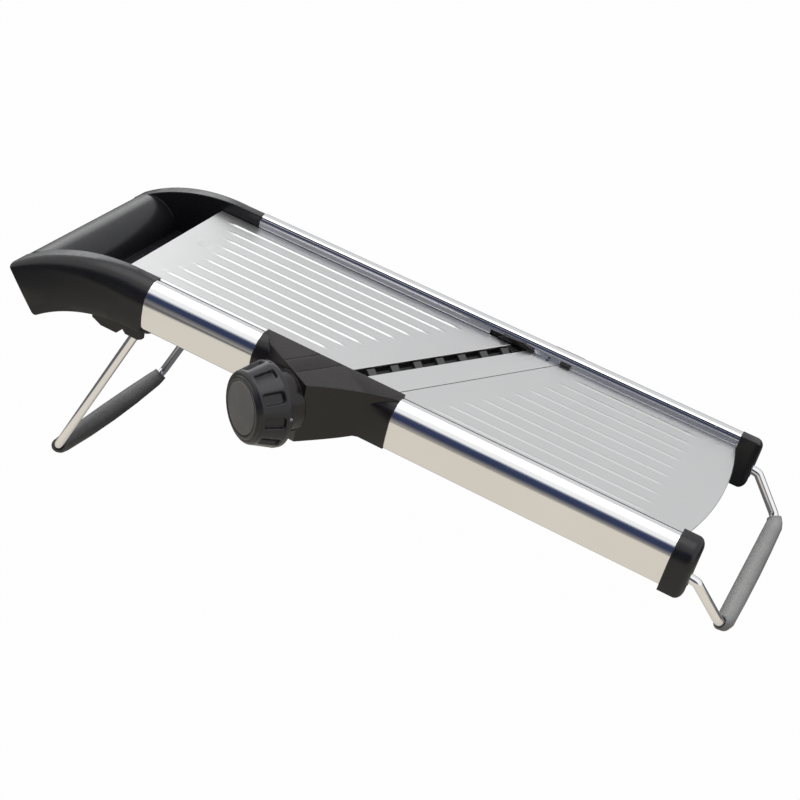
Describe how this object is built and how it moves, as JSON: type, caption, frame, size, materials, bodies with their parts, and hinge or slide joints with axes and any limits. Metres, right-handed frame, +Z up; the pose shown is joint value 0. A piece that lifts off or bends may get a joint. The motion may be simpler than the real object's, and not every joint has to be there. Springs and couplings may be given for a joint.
{
  "type": "mandoline slicer",
  "caption": "Sloping kitchen slicer with a slanted blade between steel rails, a side knob that sets cut depth, a moulded handle and fold-out wire legs.",
  "frame": {"origin": "centre of the footprint, on the surface that the two feet stand on", "axes": "+X down the board from the handle to the low end, level; +Y to the side away from the knob; +Z up"},
  "size_m": [0.4045, 0.1714, 0.1357],
  "materials": {
    "moulded_black": "glossy",
    "rail_steel": "polished",
    "plate_steel": "satin",
    "frame_plastic": "matte",
    "knob_black": "satin",
    "disc_grey": "matte",
    "blade_steel": "polished",
    "tooth_steel": "matte",
    "wire_chrome": "polished",
    "pad_dark": "matte",
    "pad_grey": "matte"
  },
  "bodies": {
    "frame": {"handle": "moulded_black", "rear_leg_bracket": "moulded_black", "near_rail_upper_sleeve": "rail_steel", "near_rail_lower_sleeve": "rail_steel", "near_rail_core": "frame_plastic", "far_rail_sleeve": "rail_steel", "far_rail_core": "frame_plastic", "knob_housing": "moulded_black", "shaft_bushes": "frame_plastic", "runway_hinge_pins": "wire_chrome", "landing_plate": "plate_steel", "landing_carrier": "frame_plastic", "far_blade_guide": "moulded_black", "near_end_cap": "moulded_black", "far_end_cap": "moulded_black"},
    "knob": {"knob_body": "knob_black", "knob_disc": "disc_grey", "knob_shaft": "wire_chrome", "comb_cams": "frame_plastic", "runway_cams": "frame_plastic"},
    "runway": {"runway_plate": "plate_steel", "runway_carrier": "frame_plastic"},
    "comb": {"comb_bar": "frame_plastic", "comb_teeth": "tooth_steel"},
    "blade": {"blade": "blade_steel", "blade_tab": "moulded_black"},
    "rear_leg": {"rear_leg_wire": "wire_chrome", "rear_foot_pad": "pad_dark"},
    "front_leg": {"front_leg_wire": "wire_chrome", "front_foot_pad": "pad_grey"}
  },
  "joints": [
    {"name": "knob_turn", "type": "hinge", "parent": "frame", "child": "knob", "pos_m": [-0.0284, -0.06327, 0.08918], "axis": [-0.4932, -0.8599, 0.1319], "range_deg": [-20, 100]},
    {"name": "runway_tilt", "type": "hinge", "parent": "frame", "child": "runway", "pos_m": [-0.12648, 0.01923, 0.11955], "axis": [0, 1, 0], "range_deg": [-0.25, 1.15]},
    {"name": "comb_lift", "type": "slide", "parent": "frame", "child": "comb", "axis": [0.2584, 0, 0.966], "range_m": [-0.00072, 0.00352]},
    {"name": "blade_slide", "type": "slide", "parent": "frame", "child": "blade", "axis": [0.4932, 0.8599, -0.1319], "range_m": [0, 0.05]},
    {"name": "rear_leg_fold", "type": "hinge", "parent": "frame", "child": "rear_leg", "pos_m": [-0.12498, 0.01923, 0.1], "axis": [0, 1, 0], "range_deg": [-105, 0]},
    {"name": "front_leg_fold", "type": "hinge", "parent": "frame", "child": "front_leg", "pos_m": [0.17447, 0.01923, 0.03337], "axis": [0, 1, 0], "range_deg": [0, 90]}
  ],
  "couplings": [
    {"joint": "runway_tilt", "follows": "knob_turn", "ratio": 0.0113},
    {"joint": "comb_lift", "follows": "knob_turn", "m_per_rad": 0.0020053}
  ]
}
